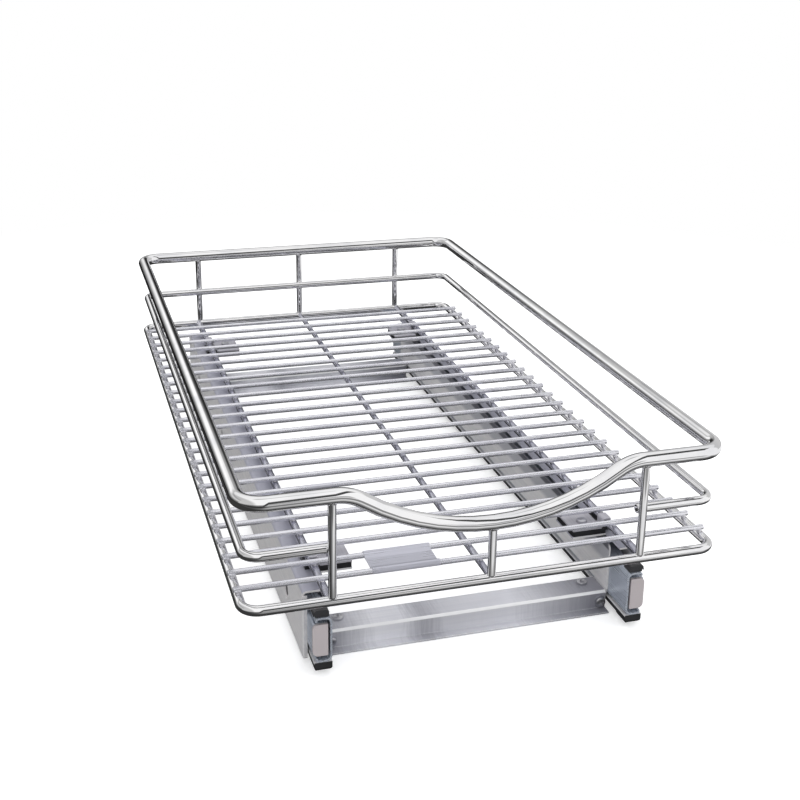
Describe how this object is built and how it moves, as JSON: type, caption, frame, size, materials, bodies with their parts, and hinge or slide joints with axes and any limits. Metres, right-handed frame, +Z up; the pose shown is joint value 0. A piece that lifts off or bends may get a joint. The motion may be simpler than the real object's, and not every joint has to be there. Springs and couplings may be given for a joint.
{
  "type": "roll-out cabinet drawer",
  "caption": "Roll-out wire basket drawer with a dipped front rail, on ball-bearing slides above a sheet-steel base that screws to a cabinet floor.",
  "frame": {"origin": "on the cabinet floor under the middle of the basket", "axes": "+X to the right seen from the front, +Y into the cabinet, +Z up; the drawer pulls out towards -Y"},
  "size_m": [0.292, 0.519, 0.119],
  "materials": {
    "bright_wire": "bright chrome plating",
    "zinc_sheet": "satin zinc-plated sheet",
    "slide_steel": "bright zinc-plated, roll-formed",
    "ball_steel": "polished",
    "fastener": "nickel-plated",
    "grey_plastic": "matte moulded",
    "black_plastic": "matte moulded",
    "black_rubber": "soft matte"
  },
  "bodies": {
    "base": {"front_cross_rail": "zinc_sheet", "rear_cross_rail": "zinc_sheet", "base_bracket_left": "zinc_sheet", "base_bracket_right": "zinc_sheet", "outer_slide_left": "slide_steel", "outer_slide_right": "slide_steel", "floor_strip_left": "black_rubber", "floor_strip_right": "black_rubber", "stop_clips": "black_plastic", "rear_bumpers": "black_rubber", "front_rail_screws": "fastener", "rear_rail_screws": "fastener"},
    "basket": {"top_rail": "bright_wire", "middle_rail": "bright_wire", "base_rail": "bright_wire", "front_posts": "bright_wire", "rear_posts": "bright_wire", "cross_wires": "bright_wire", "centre_wire": "bright_wire", "runner_wires": "bright_wire", "carriage_left": "zinc_sheet", "carriage_right": "zinc_sheet", "inner_slide_left": "slide_steel", "inner_slide_right": "slide_steel", "slide_end_caps": "grey_plastic", "slide_rivets": "fastener", "clip_blocks": "black_plastic", "clip_plates": "zinc_sheet", "clip_screws": "fastener"},
    "cage_left": {"ball_cage_left": "slide_steel", "slide_balls_left": "ball_steel"},
    "cage_right": {"ball_cage_right": "slide_steel", "slide_balls_right": "ball_steel"}
  },
  "joints": [
    {"name": "drawer_slide", "type": "slide", "parent": "base", "child": "basket", "axis": [0, -1, 0], "range_m": [0, 0.38]},
    {"name": "cage_left_roll", "type": "slide", "parent": "base", "child": "cage_left", "axis": [0, -1, 0], "range_m": [0, 0.19]},
    {"name": "cage_right_roll", "type": "slide", "parent": "base", "child": "cage_right", "axis": [0, -1, 0], "range_m": [0, 0.19]}
  ],
  "couplings": [
    {"joint": "cage_left_roll", "follows": "drawer_slide", "ratio": 0.5},
    {"joint": "cage_right_roll", "follows": "drawer_slide", "ratio": 0.5}
  ]
}
